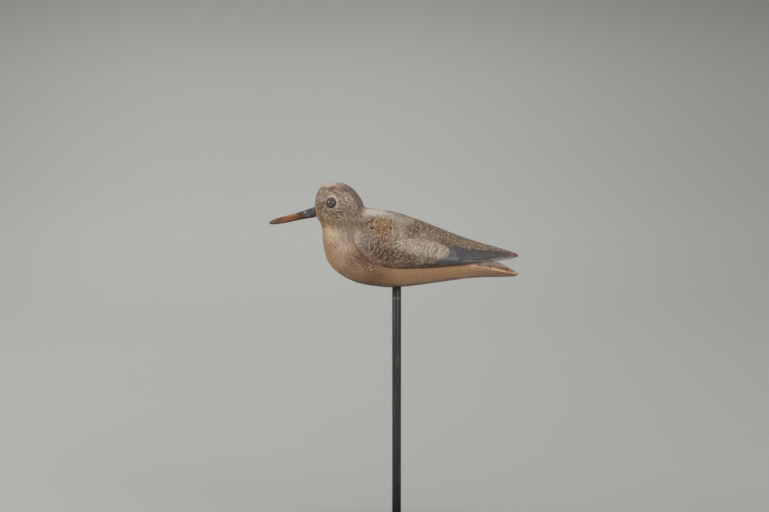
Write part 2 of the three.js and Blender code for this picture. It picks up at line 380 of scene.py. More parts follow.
def inside_wing(x, z):
    """Signed distance from the wing's edge in the side view, above 0 on the wing."""
    edge = wing_outline()
    foremost = np.argmin(edge[:, 0])
    lower = edge[foremost:]
    front = edge[foremost::-1]
    above = z > np.interp(x, lower[:, 0], lower[:, 1])
    front_x = np.interp(z, front[:, 1], front[:, 0])
    behind = np.where(z > lower[0][1], x > front_x, x > lower[0][0])
    sign = np.where(above & behind, 1.0, -1.0)
    return sign * distance_to_line(x, z, edge)


def eye_axis(side):
    """The way an eye looks; side is 1 for the far eye and -1 for the near one."""
    level = math.cos(EYE_UPWARD_TURN)
    return np.array([
        -math.sin(EYE_FORWARD_TURN) * level,
        side * math.cos(EYE_FORWARD_TURN) * level,
        math.sin(EYE_UPWARD_TURN),
    ])


def eye_centre(side, out):
    return np.array([EYE[0] * SHARE, side * out, BELLY + EYE[1] * SHARE])


def face_at_eye(points):
    """How far out the face is at the eye."""
    x, z = side_view(points)
    near = np.hypot(x - EYE[0], z - EYE[1]) < 0.5
    return np.abs(points[near, 1]).mean()


def gaussian(distance, width):
    return np.exp(-(distance / width) ** 2)


def smooth_block(bird):
    """Evens out the voxels' steps, least at the thin tips, and blends the wing's front into the nape."""
    x, z = side_view(vertex_array(bird.data))
    relax(bird.data, 3, np.where(x > THIN_TIPS_FROM, 0.2, 0.45))
    nape = np.clip((z - 23.5) / 3, 0, 1) * np.clip((-9.5 - x) / 1.5, 0, 1) * (z < 33.5)
    low_front = gaussian(x + 7.8, 2.2) * gaussian(inside_wing(x, z), 1.6) * (z < 14)
    relax(bird.data, 40, 0.5 * np.maximum(nape, 0.8 * low_front))


def shape_details(bird):
    """Wing groove, puffed wing front, eye seats and the slight waves left by the knife."""
    mesh = bird.data
    points = vertex_array(mesh)
    normals = vertex_array(mesh, "normal")
    x, z = side_view(points)
    edge = inside_wing(x, z)
    fade = np.clip((39.5 - x) / 2, 0, 1) * np.clip((27 - z) / 4, 0, 1)
    fade *= 1 - 0.9 * gaussian(x + 8, 2.2)
    lift = -GROOVE_DEPTH * gaussian(edge + 0.08, 0.3) * fade * np.clip((x + 17) / 5, 0.5, 1)
    lift += WING_SWELL * gaussian(edge - 1.6, 1.5) * fade
    knife = lattice_noise(points * (0.5, 1, 1), 6 * MM, 3) + 0.5 * lattice_noise(points, 2.5 * MM, 4)
    lift += KNIFE_WAVES * knife - CROWN_TRIM * np.clip(z - 41, 0, 1)
    points += normals * lift[:, None]
    out = face_at_eye(points)
    for side in (-1, 1):
        centre = eye_centre(side, out)
        axis = eye_axis(side)
        along = (points - centre) @ axis
        across = np.linalg.norm(points - centre - np.outer(along, axis), axis=1)
        here = np.abs(along) < EYE_DIAMETER
        rim = LID_HEIGHT * gaussian(across - EYE_DIAMETER * 0.56, 0.9 * MM)
        seat = -EYE_SEAT_SINK * np.clip((EYE_DIAMETER * 0.47 - across) / (0.6 * MM), 0, 1)
        points += np.outer(here * (rim + seat), axis)
    mesh.vertices.foreach_set("co", points.ravel())
    mesh.update()
    return out


# The bird's paint

def painted_place(points):
    """Where the coats lie, in hundredths: the heights lean down toward the flanks."""
    x, z = side_view(points)
    return x, z - np.abs(points[:, 1]) / SHARE * FLANK_LEAN


def srgb(code):
    """A colour such as #80776f as linear values."""
    value = np.array([int(code[i:i + 2], 16) for i in (1, 3, 5)]) / 255
    return np.where(value <= 0.04045, value / 12.92, ((value + 0.055) / 1.055) ** 2.4)


# The forms that paint takes. Each is a function that says how deep inside it a point lies.

def blob(x, z, reach_x, reach_z, tilt=0):
    """An oval, tilted by some degrees."""
    cos, sin = math.cos(math.radians(tilt)), math.sin(math.radians(tilt))

    def depth(px, pz):
        u = (px - x) * cos + (pz - z) * sin
        v = (pz - z) * cos - (px - x) * sin
        return (1 - np.hypot(u / reach_x, v / reach_z)) * min(reach_x, reach_z)
    return depth


def band(width, *points):
    """A strip along a line of points."""
    return lambda x, z: width / 2 - distance_to_line(x, z, points)


def patch(*points):
    """The inside of a smooth outline."""
    outline = smooth_rows([*points, points[0]], 6)
    return lambda x, z: distance_to_line(x, z, outline) * np.where(within(x, z, outline), 1, -1)


def within(x, z, outline):
    """Which points lie inside a closed outline."""
    inside = np.zeros(len(x), bool)
    for (ax, az), (bx, bz) in zip(outline, np.roll(outline, -1, axis=0)):
        if az != bz:
            crosses = (az > z) != (bz > z)
            inside ^= crosses & (x < (bx - ax) * (z - az) / (bz - az) + ax)
    return inside


def coverage(form, soft, x, z):
    """How much of the paint lies at each point: a half on the form's outline."""
    return np.clip(0.5 + form(x, z) / soft, 0, 1)


UNDERCOAT = "#ac8563"

# Each coat: form, softness of its edge, colour, opacity, and how strongly it is streaked and
# stippled. They lie on each other in this order. The wing's coats stay on the wing.
BODY_COATS = {
    "belly": (blob(14, 5, 26, 6, 2), 6, "#b98e68", 1, 0.2, 0),
    "belly front": (blob(-11, 4.5, 8, 4.5, -8), 5, "#8c6748", 1, 0.3, 0),
    "lower breast": (blob(-20, 8, 8, 6, -25), 5, "#a27d5e", 1, 0.4, 0),
    "breast": (blob(-23, 15, 7, 7), 5, "#b3957b", 1, 0.4, 0.1),
    "breast edge": (band(3.4, (-28.6, 21), (-27.2, 14), (-24, 8.5)), 3, "#b08a65", 1, 0.25, 0.1),
    "upper breast": (blob(-24.3, 22.3, 4.2, 3.8, 20), 3.6, "#d3be9f", 1, 0.35, 0.1),
    "side of the neck": (blob(-19.8, 20.5, 3, 3.4, 20), 3, "#a89581", 1, 0.35, 0.3),
    "behind the neck": (blob(-17.2, 22, 2, 4), 2, "#8b7969", 1, 0.4, 0.3),
    "pink of the breast": (blob(-20.8, 15.6, 2.4, 2.2), 2.5, "#bba291", 0.9, 0.3, 0.1),
    "side of the breast": (blob(-17.5, 12, 2.6, 3.4), 3, "#8f7059", 0.9, 0.5, 0.2),
    "flank in front": (blob(-13, 10.8, 4.6, 2.4, -35), 2, "#795a45", 1, 0.5, 0.3),
    "neck": (blob(-19, 27, 7.4, 4.2, 10), 3, "#826f5c", 1, 0.5, 0.3),
    "chin": (blob(-27, 27, 4, 2.2, -20), 2, "#8f7553", 1, 0.5, 0.4),
    "head": (blob(-24, 35, 10, 7.5), 2.5, "#9f8e7c", 1, 0.85, 0.7),
    "cheek": (blob(-25.5, 29.8, 4.5, 1.8, -15), 1.6, "#846f53", 0.9, 0.9, 0.95),
    "ear": (blob(-18.5, 30, 4.4, 2.6, -20), 2, "#7f6a57", 0.9, 0.85, 0.6),
    "crown": (blob(-24, 41, 8, 2.6, 0), 1.2, "#978680", 1, 0.3, 0.8),
    "forehead": (blob(-30, 37, 2.4, 3.6, 30), 2, "#958375", 0.9, 0.4, 0.6),
    "crown front": (blob(-26.6, 41.4, 3.4, 1.3, 6), 1.2, "#cebbaf", 0.95, 0.3, 0.5),
    "crown band": (band(1.3, (-27, 39.4), (-24.8, 39.8), (-22, 39.6), (-19.5, 39.2)),
        1, "#87604a", 0.75, 0.6, 0.7),
    "nape": (band(3.2, (-18.6, 39.6), (-16.6, 37), (-15, 34.6), (-13.9, 32.4)),
        1.6, "#7d6c6a", 0.95, 0.3, 0.5),
    "nape line": (band(1.2, (-18.2, 38.4), (-16.4, 36), (-15.4, 34), (-14.6, 32)),
        1.6, "#5d4844", 0.6, 0.2, 0.2),
    "lore": (blob(-30.3, 33, 1.8, 2), 1.4, "#74604a", 0.9, 0.4, 0.8),
    "bill root": (band(1, (-31.3, 31.8), (-31.1, 29.8), (-30.6, 28.8)), 0.9, "#a36b3c", 0.85, 0.2, 0.3),
    "rust of the throat": (band(1, (-30.2, 28.3), (-29, 26.6), (-28.8, 24.4)),
        0.9, "#80593a", 0.8, 0.3, 0.3),
    # Painted shade: the underside is painted darker because it lies in shade from below.
    "painted shade underneath": (band(3, (-18, 1.5), (-14, 0.7), (-3, -0.5), (6, -0.2), (20, 1.6), (40, 3.2)),
        2, "#4f3e31", 0.9, 0.1, 0),
    # Painted shade and painted reflection: a grey rim along the lower outline, where the surface turns
    # away from the light and mirrors the grey backdrop.
    "front rim's painted shade and reflection": (band(2, (-23, 4.9), (-20, 3.1), (-16, 1.7), (-12, 0.7)),
        1.4, "#675f56", 0.6, 0.1, 0),
    "lower rim's painted shade and reflection": (
        band(1.4, (-12, 0.5), (-8, 0), (-3, -0.3), (3, -0.1), (8, 0.5), (20, 1.9), (40, 3.5)),
        0.9, "#5a534b", 0.7, 0.1, 0),
    "tail": (blob(42, 6.5, 12, 3.6, -6), 2, "#a57f60", 0.6, 0.3, 0),
    "tail top": (
        patch((31, 9.3), (34, 8.4), (38, 7.9), (43, 6.9), (47.5, 5.9), (46, 8), (42, 10), (36, 11)),
        0.6, "#958478", 1, 0.35, 0.4),
    "tail's root": (blob(34.8, 9.1, 1.8, 0.7, -8), 0.8, "#837366", 0.8, 0.3, 0.5),
    # Painted light: the tail's ridge lies in the wing's shadow and is painted pale so that it looks lit.
    "painted light on the tail's ridge": (band(1.5, (38.5, 10.7), (39.9, 10.3), (43.2, 8.9), (45.9, 7.5), (47.8, 6.4)),
        0.8, "#ddcfbc", 0.95, 0.3, 0.3),
    "tail side": (band(1.2, (40, 7.8), (46.5, 6.4)), 0.6, "#93704f", 0.8, 0.3, 0.3),
    "tail under": (band(1.2, (30, 3.8), (40, 4.1), (46, 4.5)), 1.2, "#7a6356", 0.8, 0.1, 0.1),
    "below the tail line": (band(0.7, (39.5, 6.4), (41.5, 6), (44, 5.6), (47.4, 5)),
        0.8, "#7f563d", 0.75, 0.1, 0.1),
}
WING_COATS = {
    "wing": (blob(0, 20, 80, 80), 1, "#897868", 1, 0.5, 0.6),
    "mantle": (band(4.2, (-12, 30.6), (-7, 29.9), (-2.5, 29)), 2.4, "#c1b8af", 1, 0.3, 0.1),
    "back's rim": (band(1.4, (-3, 30.6), (2, 29.3), (7, 27.6)), 1, "#80756f", 0.75, 0.3, 0.2),
    "mantle's rear": (band(4.4, (-1, 27.6), (3, 27), (8, 25.4)), 3, "#a39384", 0.95, 0.4, 0.5),
    "shoulder's front": (blob(-13, 18.6, 3.4, 4.6), 3, "#85756a", 0.9, 0.5, 0.45),
    # Painted highlight along the rounded front of the wing's bend.
    "painted highlight at the bend of the wing": (blob(-16.1, 19.6, 1.3, 3.2, 3), 1.2, "#a89588", 0.9, 0.3, 0.05),
    "stippled shoulder": (blob(-5.6, 23.6, 6, 4.2, -25), 3, "#8e6e4f", 1, 0.4, 1),
    "shoulder's end": (blob(-6, 18, 3, 2.8), 2.4, "#82634f", 0.8, 0.4, 0.9),
    "scapulars": (blob(0.6, 21.5, 3, 3.6), 3, "#9c8b77", 0.9, 0.5, 0.6),
    "dark coverts": (band(5.8, (-9, 14.2), (-4, 12.8), (2, 11), (9, 9.8)), 2.6, "#5f4b3d", 1, 0.7, 0.7),
    "front coverts": (blob(-12, 13.4, 2.2, 1.8, -30), 1.6, "#8a705f", 0.9, 0.6, 0.5),
    "dark coverts' middle": (blob(-4.2, 13, 3.4, 2.4), 2, "#513e33", 0.7, 0.6, 0.6),
    "light in the coverts": (blob(0.4, 11.4, 2.4, 1.6), 1.4, "#75604f", 0.8, 0.7, 0.7),
    "rear coverts": (blob(12, 10.9, 5, 1.8), 1.6, "#7c6c5e", 0.9, 0.8, 0.5),
    "front rim": (band(2.6, (-14, 13.4), (-12, 11.8), (-9.5, 10.4), (-6.5, 9.6)),
        1.4, "#86664f", 1, 0.5, 0.5),
    "lower rim": (band(1.5, (-6, 9.2), (-3, 8.6), (1, 8.1), (8, 7.9)), 1.2, "#553e30", 0.9, 0.4, 0.3),
    "cream coverts": (patch(
        (0.5, 19.4), (5, 19.4), (9, 19), (13, 18.6), (17, 17.8), (20, 15.8), (20.4, 13.8), (18, 12.2),
        (13, 12.4), (8, 13), (4, 14.4), (0.5, 16.6),
    ), 1.6, "#ad9e8d", 1, 0.4, 0.6),
    "back": (band(6, (9, 25.4), (14, 22.9), (20, 20.5), (28, 17.8), (36, 15.8), (42, 14.6)),
        2, "#7e6d5d", 1, 0.4, 0.9),
    "dark scapulars": (blob(6.6, 23.3, 2.8, 1.5, -20), 1.5, "#5c4e42", 0.9, 0.4, 0.9),
    "dark tertials": (blob(24, 18.8, 3.4, 1.2, -17), 1.4, "#6f5f51", 0.6, 0.3, 0.9),
    "golden back": (blob(30, 17, 7, 1.2, -17), 1.6, "#857258", 0.9, 0.3, 0.9),
    "cream's end": (blob(19.7, 14.2, 0.9, 1.6), 1, "#bcb3a9", 0.65, 0.4, 0.5),
    "grey tertial tips": (blob(41, 15, 4.5, 0.9, -15), 1, "#7e7069", 0.8, 0.2, 0.7),
    "above the slate": (blob(19.8, 17.2, 3.2, 1.1, -15), 1, "#54483f", 0.9, 0.4, 0.7),
    "upper wing tip": (band(1.1, (41, 15.2), (46, 14.1)), 0.8, "#a8978a", 0.8, 0.2, 0.8),
    "primaries": (patch(
        (20.9, 12.6), (21.1, 14.2), (20.6, 15.8), (22.2, 16.8), (24, 16.3), (28, 15.6),
        (34, 15), (40, 14.5), (45, 14), (47, 12.9), (44, 11.8), (40, 11.2), (36.6, 10.7),
        (33, 9), (20, 8), (15.5, 9.8), (17.5, 11.4),
    ), 0.5, "#4a4a4d", 1, 0.2, 0.15),
    "slate's upper edge": (band(0.4, (23, 16.5), (28, 15.4), (34, 14.8), (40, 14.2)),
        0.5, "#423e39", 0.7, 0.1, 0.1),
    "dark primaries": (blob(26, 13.6, 2.4, 1.4), 1.4, "#484850", 0.7, 0.2, 0.15),
    "rear primaries": (blob(40, 12.9, 6, 1.4, -4), 1.6, "#474443", 0.8, 0.2, 0.1),
    "light primaries": (blob(22.6, 13.4, 1.2, 2.2, 15), 1.2, "#5d6366", 0.8, 0.2, 0.1),
    # Painted light and shade: the wing's lower edge rounds under, with a painted highlight above and
    # painted shade below.
    "painted highlight on the slate's rounding": (band(0.6, (17.2, 11.7), (20, 11.5), (24, 11.3)), 1.3, "#8b8c89", 0.8, 0.2, 0.1),
    "painted shade under the slate's rounding": (band(1, (17.2, 10.2), (24.5, 10.4)), 0.7, "#464d52", 1, 0.1, 0.1),
    # Dark along the wing's lower edge: partly the groove's own dark paint, partly painted shade under
    # the edge.
    "wing edge's dark paint and shade": (band(1.5, (9.5, 8.7), (13, 9), (16.5, 9.1)), 0.8, "#37291f", 0.95, 0.2, 0.2),
    "rear wing edge's dark paint and shade": (band(0.6, (16.5, 8.9), (22, 9.2), (27, 9.3), (32, 9.9)),
        0.6, "#4a3d34", 0.9, 0.2, 0.2),
    "wing tip": (blob(46.6, 13.1, 4, 1, -10), 1.2, "#5d4a46", 0.95, 0.2, 0.1),
}
# Thin lines and spots. Most were laid with a steady brush, and name no streaks or stipple.
STEADY_BRUSH = (0.1, 0)
FINE_COATS = {
    "eye ring": (
        band(0.5, (-27.7, 36.2), (-26.7, 36.7), (-25.2, 36.45), (-24.1, 35.6), (-23.6, 34.4),
             (-23.7, 33.1), (-24.5, 32)),
        0.5, "#dccdb5", 0.95, 0.2, 0),
    "below the eye": (band(0.6, (-27.4, 31.5), (-25.4, 31.1)), 0.5, "#c0aa94", 0.7, 0.2, 0),
    "lore shade": (blob(-29.1, 33.6, 0.9, 1), 0.8, "#574c42", 0.75),
    "lore spot": (blob(-30.1, 31.6, 0.7, 0.45, -20), 0.5, "#54422f", 0.7),
    "lore light": (blob(-28.6, 32.4, 0.5, 0.3, -30), 0.3, "#cfc2ab", 0.7),
    "olive brow": (blob(-26.9, 37.5, 1.4, 0.8), 0.8, "#a8977a", 0.6, 0.3, 0),
    "brow stroke": (blob(-26.9, 36.9, 0.8, 0.25, -8), 0.3, "#685632", 0.7),
    "behind the eye": (blob(-23.5, 36.7, 0.8, 0.7), 0.7, "#6c5e4a", 0.7),
    "eye stroke": (band(0.45, (-23.1, 34.7), (-21.4, 34.4)), 0.4, "#66543f", 0.75),
    "lower eye stroke": (band(0.45, (-23, 33.4), (-21.2, 33)), 0.4, "#66543f", 0.75),
    "crown spot": (blob(-25.8, 39.6, 1.1, 0.6), 0.6, "#5e4030", 0.8),
    "front crown spot": (blob(-28.1, 39.6, 0.7, 0.35), 0.4, "#6b4d3c", 0.7),
    "crown dark fleck": (blob(-23.6, 41.3, 0.7, 0.3, -10), 0.3, "#6f5c58", 0.7),
    "crown rear fleck": (blob(-21.3, 40.3, 0.6, 0.3, -25), 0.3, "#6a4a42", 0.6),
    "crown light fleck": (blob(-29.2, 40.6, 0.6, 0.4, 40), 0.4, "#d3bfb2", 0.7),
    "brow's dark fleck": (blob(-22.9, 38.6, 0.9, 0.3, -8), 0.3, "#5f4a3a", 0.7),
    "rear crown spot": (blob(-20.5, 38.9, 0.9, 0.5, -30), 0.5, "#593c33", 0.65),
    "cheek spot": (blob(-25.1, 29.8, 0.9, 0.35, -8), 0.4, "#57442b", 0.7),
    # Painted shade in the hollow between the neck and the shoulder.
    "painted shade in the neck hollow": (blob(-14.8, 25, 2.6, 1.5, -15), 1.8, "#5c4c30", 0.7, 0.4, 0.2),
    "shoulder line": (band(0.6, (-12.3, 25.5), (-10.6, 26.5), (-9.2, 27)), 0.4, "#36281f", 0.85),
    "shoulder spot": (blob(-9.9, 23.6, 0.7, 0.6), 0.4, "#2e1d10", 0.9),
    "shoulder fleck": (blob(-8.9, 25.2, 0.35, 0.4), 0.3, "#dcb898", 0.8),
    "bend fleck": (blob(-14.6, 21.9, 0.28, 0.36), 0.3, "#d0cac6", 0.6),
    "lower bend fleck": (blob(-13.9, 20.4, 0.45, 0.3, -20), 0.3, "#cac6c6", 0.6),
    "above the eye": (blob(-28.2, 36.9, 1, 0.6), 0.7, "#7d6954", 0.75, 0.2, 0),
    "scapular flecks": (band(0.4, (1.6, 22.2), (1.4, 20.3)), 0.4, "#d3ccbc", 0.7),
    "covert fleck": (blob(-9.2, 17.7, 0.5, 0.3), 0.3, "#c4b297", 0.7),
    "front chip": (blob(-10.8, 8.2, 0.36, 0.32), 0.3, "#e6d3ad", 0.8),
    "lower chip": (blob(-10.1, 7.1, 0.32, 0.42), 0.3, "#dfc6a2", 0.8),
    "dark back spots": (band(0.5, (4.9, 23.2), (8, 22.5)), 0.5, "#43362c", 0.6, 0.1, 0.6),
    "dark tertial spot": (blob(20.3, 17.2, 0.6, 0.3), 0.3, "#3d322d", 0.7),
    # Painted shadow under the wing's edge.
    "painted shadow under the wing": (band(0.8, (9, 8), (13, 8), (18, 8.4), (24, 8.8), (28.5, 9.2)),
        0.5, "#513d31", 0.85),
    "line before the tail": (band(0.6, (28.5, 9.35), (33, 9.6)), 0.5, "#75655a", 0.8),
    # The tail's light edge line: partly its pale paint, partly a painted highlight along the tail's side
    # edge.
    "tail line": (band(0.4, (38, 7.45), (40, 6.98), (43, 6.4)), 0.4, "#e8c3a4", 0.95),
    "red tail line": (band(0.55, (43, 6.38), (45, 6), (47.8, 5.55)), 0.5, "#d3997e", 0.95),
    "tail line's start": (band(0.3, (33.5, 8.1), (36, 7.85), (38, 7.5)), 0.4, "#d6ac88", 0.8),
    # Painted highlight along the wing tips' lower edge.
    "painted highlight under the wing tips": (band(0.45, (37, 10.9), (46, 11.8)), 0.5, "#a49b94", 0.85, 0.2, 0),
    "slate under the line": (band(0.4, (25.5, 10.2), (31.5, 10.3)), 0.5, "#7f7a74", 0.75),
    # Painted highlights: the light line where the wing's lower edge catches the light.
    "painted highlight on the slate's edge": (band(0.2, (26.8, 10.85), (29.6, 10.8)), 0.3, "#9a9994", 0.8),
    "second painted highlight on the slate's edge": (band(0.2, (30.4, 10.7), (33.4, 10.6)), 0.3, "#9a9994", 0.75),
    "pink painted highlight at the wing's edge": (band(0.5, (33.6, 10.5), (36.4, 10.5)), 0.5, "#94837d", 0.8),
    # Painted shadow in the gap where the wing tip overhangs the tail.
    "painted shadow under the wing tip": (blob(37.7, 10.35, 0.9, 0.25), 0.3, "#4c3f39", 0.8),
    # Painted light: the notch between wing tip and tail is painted pale, though it lies in shade.
    "painted light in the notch": (blob(39.6, 10.2, 0.9, 0.4, -15), 0.4, "#efe2d0", 0.9),
    "golden wing spot": (blob(46.5, 12.95, 0.6, 0.22, -10), 0.3, "#8f7148", 0.55),
    "wing point": (blob(49, 12.9, 1.2, 0.6, -15), 0.6, "#593c3a", 0.7),
    "rump light": (blob(30.4, 8.6, 1, 0.3, -5), 0.4, "#dfb48c", 0.6),
    "rump spot": (blob(27.6, 7.9, 0.7, 0.5), 0.5, "#b8955a", 0.7),
    "tail dash 1": (blob(32.7, 8.9, 0.9, 0.3, -10), 0.4, "#6d4e38", 0.7),
    "tail dash 2": (blob(35.2, 8.6, 0.6, 0.25, 10), 0.4, "#6d4e38", 0.6),
    "tail dash 3": (blob(37.1, 8.45, 0.75, 0.38, -5), 0.3, "#4c3020", 0.95),
    "tail dash 4": (blob(38.7, 8.3, 0.4, 0.28, -30), 0.3, "#5a3a26", 0.8),
    "tail dash 5": (blob(40.3, 8.1, 0.36, 0.5, 20), 0.3, "#785538", 0.85),
    "tail dash 6": (blob(42.2, 7.7, 0.38, 0.5, 20), 0.3, "#603d25", 0.85),
    "tail dash 7": (blob(43.9, 7.05, 0.65, 0.42, -25), 0.3, "#5c301c", 0.95),
}

# The back's rear, where the brush only dotted.
DOTTED_BACK = band(4.5, (19, 20.6), (26, 18.4), (34, 16.3), (44, 14.2))

# How strong the dark line along the wing's edge is, from the front to the tail. The line is partly the
# groove's dark paint and partly painted shadow under the wing's edge.
GROOVE_PLACES = [-17.5, -16, -14, -12, -10.5, -7, -4, 0, 20, 30, 36]
GROOVE_STRENGTHS = [0.3, 0.5, 0.75, 0.7, 0.1, 0.2, 0.8, 1.0, 0.7, 0.4, 0.1]
GROOVE_PAINT_AND_SHADOW_COLOUR = "#5c3824"

# Which way the brush went: places and degrees above level.
STROKE_ANGLES = np.array([
    (-31, 35, 60), (-27, 41, 8), (-20, 40, -30), (-15, 34, -60), (-21, 35, -8), (-20, 30, -25),
    (-25, 30, -10), (-28, 26, -45), (-19, 26, -50), (-26, 21, -75), (-22, 15, -60), (-20, 10, -30),
    (-15, 7, -22), (-6, 4, -10), (8, 4, 2), (25, 6, 6), (44, 6, -12), (-16, 20, -85), (-12, 18, 70),
    (-8, 23, 85), (-4, 14, 45), (0, 17, 40), (4, 11, 28), (4, 18, 50), (10, 18, 15), (14, 16, 75),
    (18, 14, 60), (14, 11, 75), (8, 24, 80), (2, 25, 80), (16, 21, 85), (24, 19, 60), (31, 17, -30),
    (32, 13, -8), (45, 13, -12), (-8, 30, -10),
], float)
STROKE_REACH = 2.2


def stroke_directions(x, z, normals):
    """The way the brush went at each point, as unit vectors on the surface."""
    squares = (x[:, None] - STROKE_ANGLES[:, 0]) ** 2 + (z[:, None] - STROKE_ANGLES[:, 1]) ** 2
    weight = np.exp(-squares / (2 * STROKE_REACH ** 2)) + 1e-12
    angle = np.radians((weight @ STROKE_ANGLES[:, 2]) / weight.sum(1))
    way = np.stack([np.cos(angle), np.zeros(len(x)), np.sin(angle)], axis=1)
    way -= normals * (way * normals).sum(1)[:, None]
    return way / np.maximum(np.linalg.norm(way, axis=1), 1e-6)[:, None]


def unsteady(place, points, seed):
    """A coordinate that wavers, so that the coats' edges do."""
    wide, narrow = lattice_noise(points, 4 * MM, seed), lattice_noise(points, 1.6 * MM, seed + 1)
    return place + 0.45 * wide + 0.25 * narrow


def lay(layers, coats, x, z, where=1.0):
    """Lays the coats over the layers: three of colour, one of streaks and one of stipple."""
    for form, soft, code, opacity, *texture in coats.values():
        coat = np.array([*srgb(code), *(texture or STEADY_BRUSH)])
        amount = coverage(form, soft, x, z) * opacity * where
        layers += (coat - layers) * amount[:, None]


def paint_bird(bird):
    """Puts the coats of paint on the bird as layers that its material reads."""
    mesh = bird.data
    points = vertex_array(mesh)
    normals = vertex_array(mesh, "normal")
    edge = inside_wing(*side_view(points))
    x, z = painted_place(points)
    # The wing's paint ends sharply low on the flank and fades into the nape.
    crisp = np.clip((26 - z) / 3, 0, 1)
    on_wing = np.clip(0.5 + (edge - 0.12) / (0.3 + 2.2 * (1 - crisp)), 0, 1)
    loose_x, loose_z = unsteady(x, points, 11), unsteady(z, points, 13)
    layers = np.tile([*srgb(UNDERCOAT), *STEADY_BRUSH], (len(x), 1))
    lay(layers, BODY_COATS, loose_x, loose_z)
    lay(layers, WING_COATS, loose_x, loose_z, on_wing)
    lay(layers, FINE_COATS, x, z)
    strength = np.interp(x, GROOVE_PLACES, GROOVE_STRENGTHS) * np.clip((25 - z) / 6, 0.3, 1)
    # The groove's dark paint and the painted shadow under the wing's edge.
    groove = gaussian(edge - 0.25, 0.34) * strength * crisp
    colour, streaks, stipple = layers[:, :3], layers[:, 3], layers[:, 4]
    colour += (srgb(GROOVE_PAINT_AND_SHADOW_COLOUR) - colour) * groove[:, None]
    add_layer(mesh, "underpaint", np.hstack([colour, np.ones((len(x), 1))]))
    add_layer(mesh, "streaks", streaks)
    add_layer(mesh, "stipple", stipple)
    add_layer(mesh, "dots", coverage(DOTTED_BACK, 3, x, z) * on_wing * stipple)
    add_layer(mesh, "across", np.cross(normals, stroke_directions(x, z, normals)))


STROKE_SCALE = 265.0
STROKE_FREQUENCY = 1.15


class Graph:
    """A material's nodes. A socket given as a value is linked, and a plain value is set."""

    def __init__(self, name):
        self.material = bpy.data.materials.new(name)
        self.material.use_nodes = True
        self.tree = self.material.node_tree
        self.shader = self.tree.nodes["Principled BSDF"]

    def put(self, socket, value):
        if isinstance(value, bpy.types.NodeSocket):
            self.tree.links.new(value, socket)
        elif isinstance(value, (tuple, list, np.ndarray)) and len(socket.default_value) == 4:
            socket.default_value = (*value[:3], 1)
        else:
            socket.default_value = value

    def add(self, kind, output=0, inputs=(), **settings):
        node = self.tree.nodes.new("ShaderNode" + kind)
        for key, value in settings.items():
            setattr(node, key, value)
        for key, value in dict(inputs).items():
            self.put(node.inputs[key], value)
        return node.outputs[output]

    def surface(self, **values):
        for key, value in values.items():
            self.put(self.shader.inputs[key.replace("_", " ")], value)

    def attribute(self, name, output="Fac"):
        return self.add("Attribute", output, attribute_name=name)

    def place(self):
        return self.add("TexCoord", "Object")

    def along(self, axis):
        return self.add("SeparateXYZ", axis, {"Vector": self.place()})

    def stretched(self, angle, along, across):
        """Object coordinates whose unit is long in a direction of the side view."""
        return self.add("Mapping", 0, {
            "Vector": self.place(), "Rotation": (0, -math.radians(angle), 0),
            "Scale": (along, across, across),
        }, vector_type="TEXTURE")

    def noise(self, vector, scale, detail, output="Fac"):
        return self.add("TexNoise", output, {"Vector": vector, "Scale": scale, "Detail": detail})

    def strokes(self, across):
        """Fine lines along the surface, at right angles to a given direction."""
        return self.add("TexGabor", "Value", {
            "Vector": self.place(), "Scale": STROKE_SCALE, "Frequency": STROKE_FREQUENCY,
            "Anisotropy": 1.0, "Orientation": across,
        }, gabor_type="3D")

    def math(self, operation, a, b=0.0, c=0.0):
        return self.add("Math", 0, {0: a, 1: b, 2: c}, operation=operation)

    def times(self, a, b):
        return self.math("MULTIPLY", a, b)

    def vector(self, operation, a, b=(0, 0, 0), c=(0, 0, 0), output="Vector"):
        return self.add("VectorMath", output, {0: a, 1: b, 2: c}, operation=operation)

    def ramp(self, value, low, high, to_low=0.0, to_high=1.0):
        return self.add("MapRange", 0, {
            "Value": value, "From Min": low, "From Max": high, "To Min": to_low, "To Max": to_high,
        }, interpolation_type="SMOOTHSTEP")

    def mix(self, amount, a, b, blend="MIX"):
        """Two colours mixed: sockets 6 and 7 of the node take colours, and its output 2 gives one."""
        return self.add("Mix", 2, {0: amount, 6: a, 7: b}, data_type="RGBA", blend_type=blend)

    def tinted(self, colour, tint):
        return self.mix(1.0, colour, tint, "MULTIPLY")

    def bump(self, height, strength, distance):
        return self.add("Bump", 0, {"Height": height, "Strength": strength, "Distance": distance})


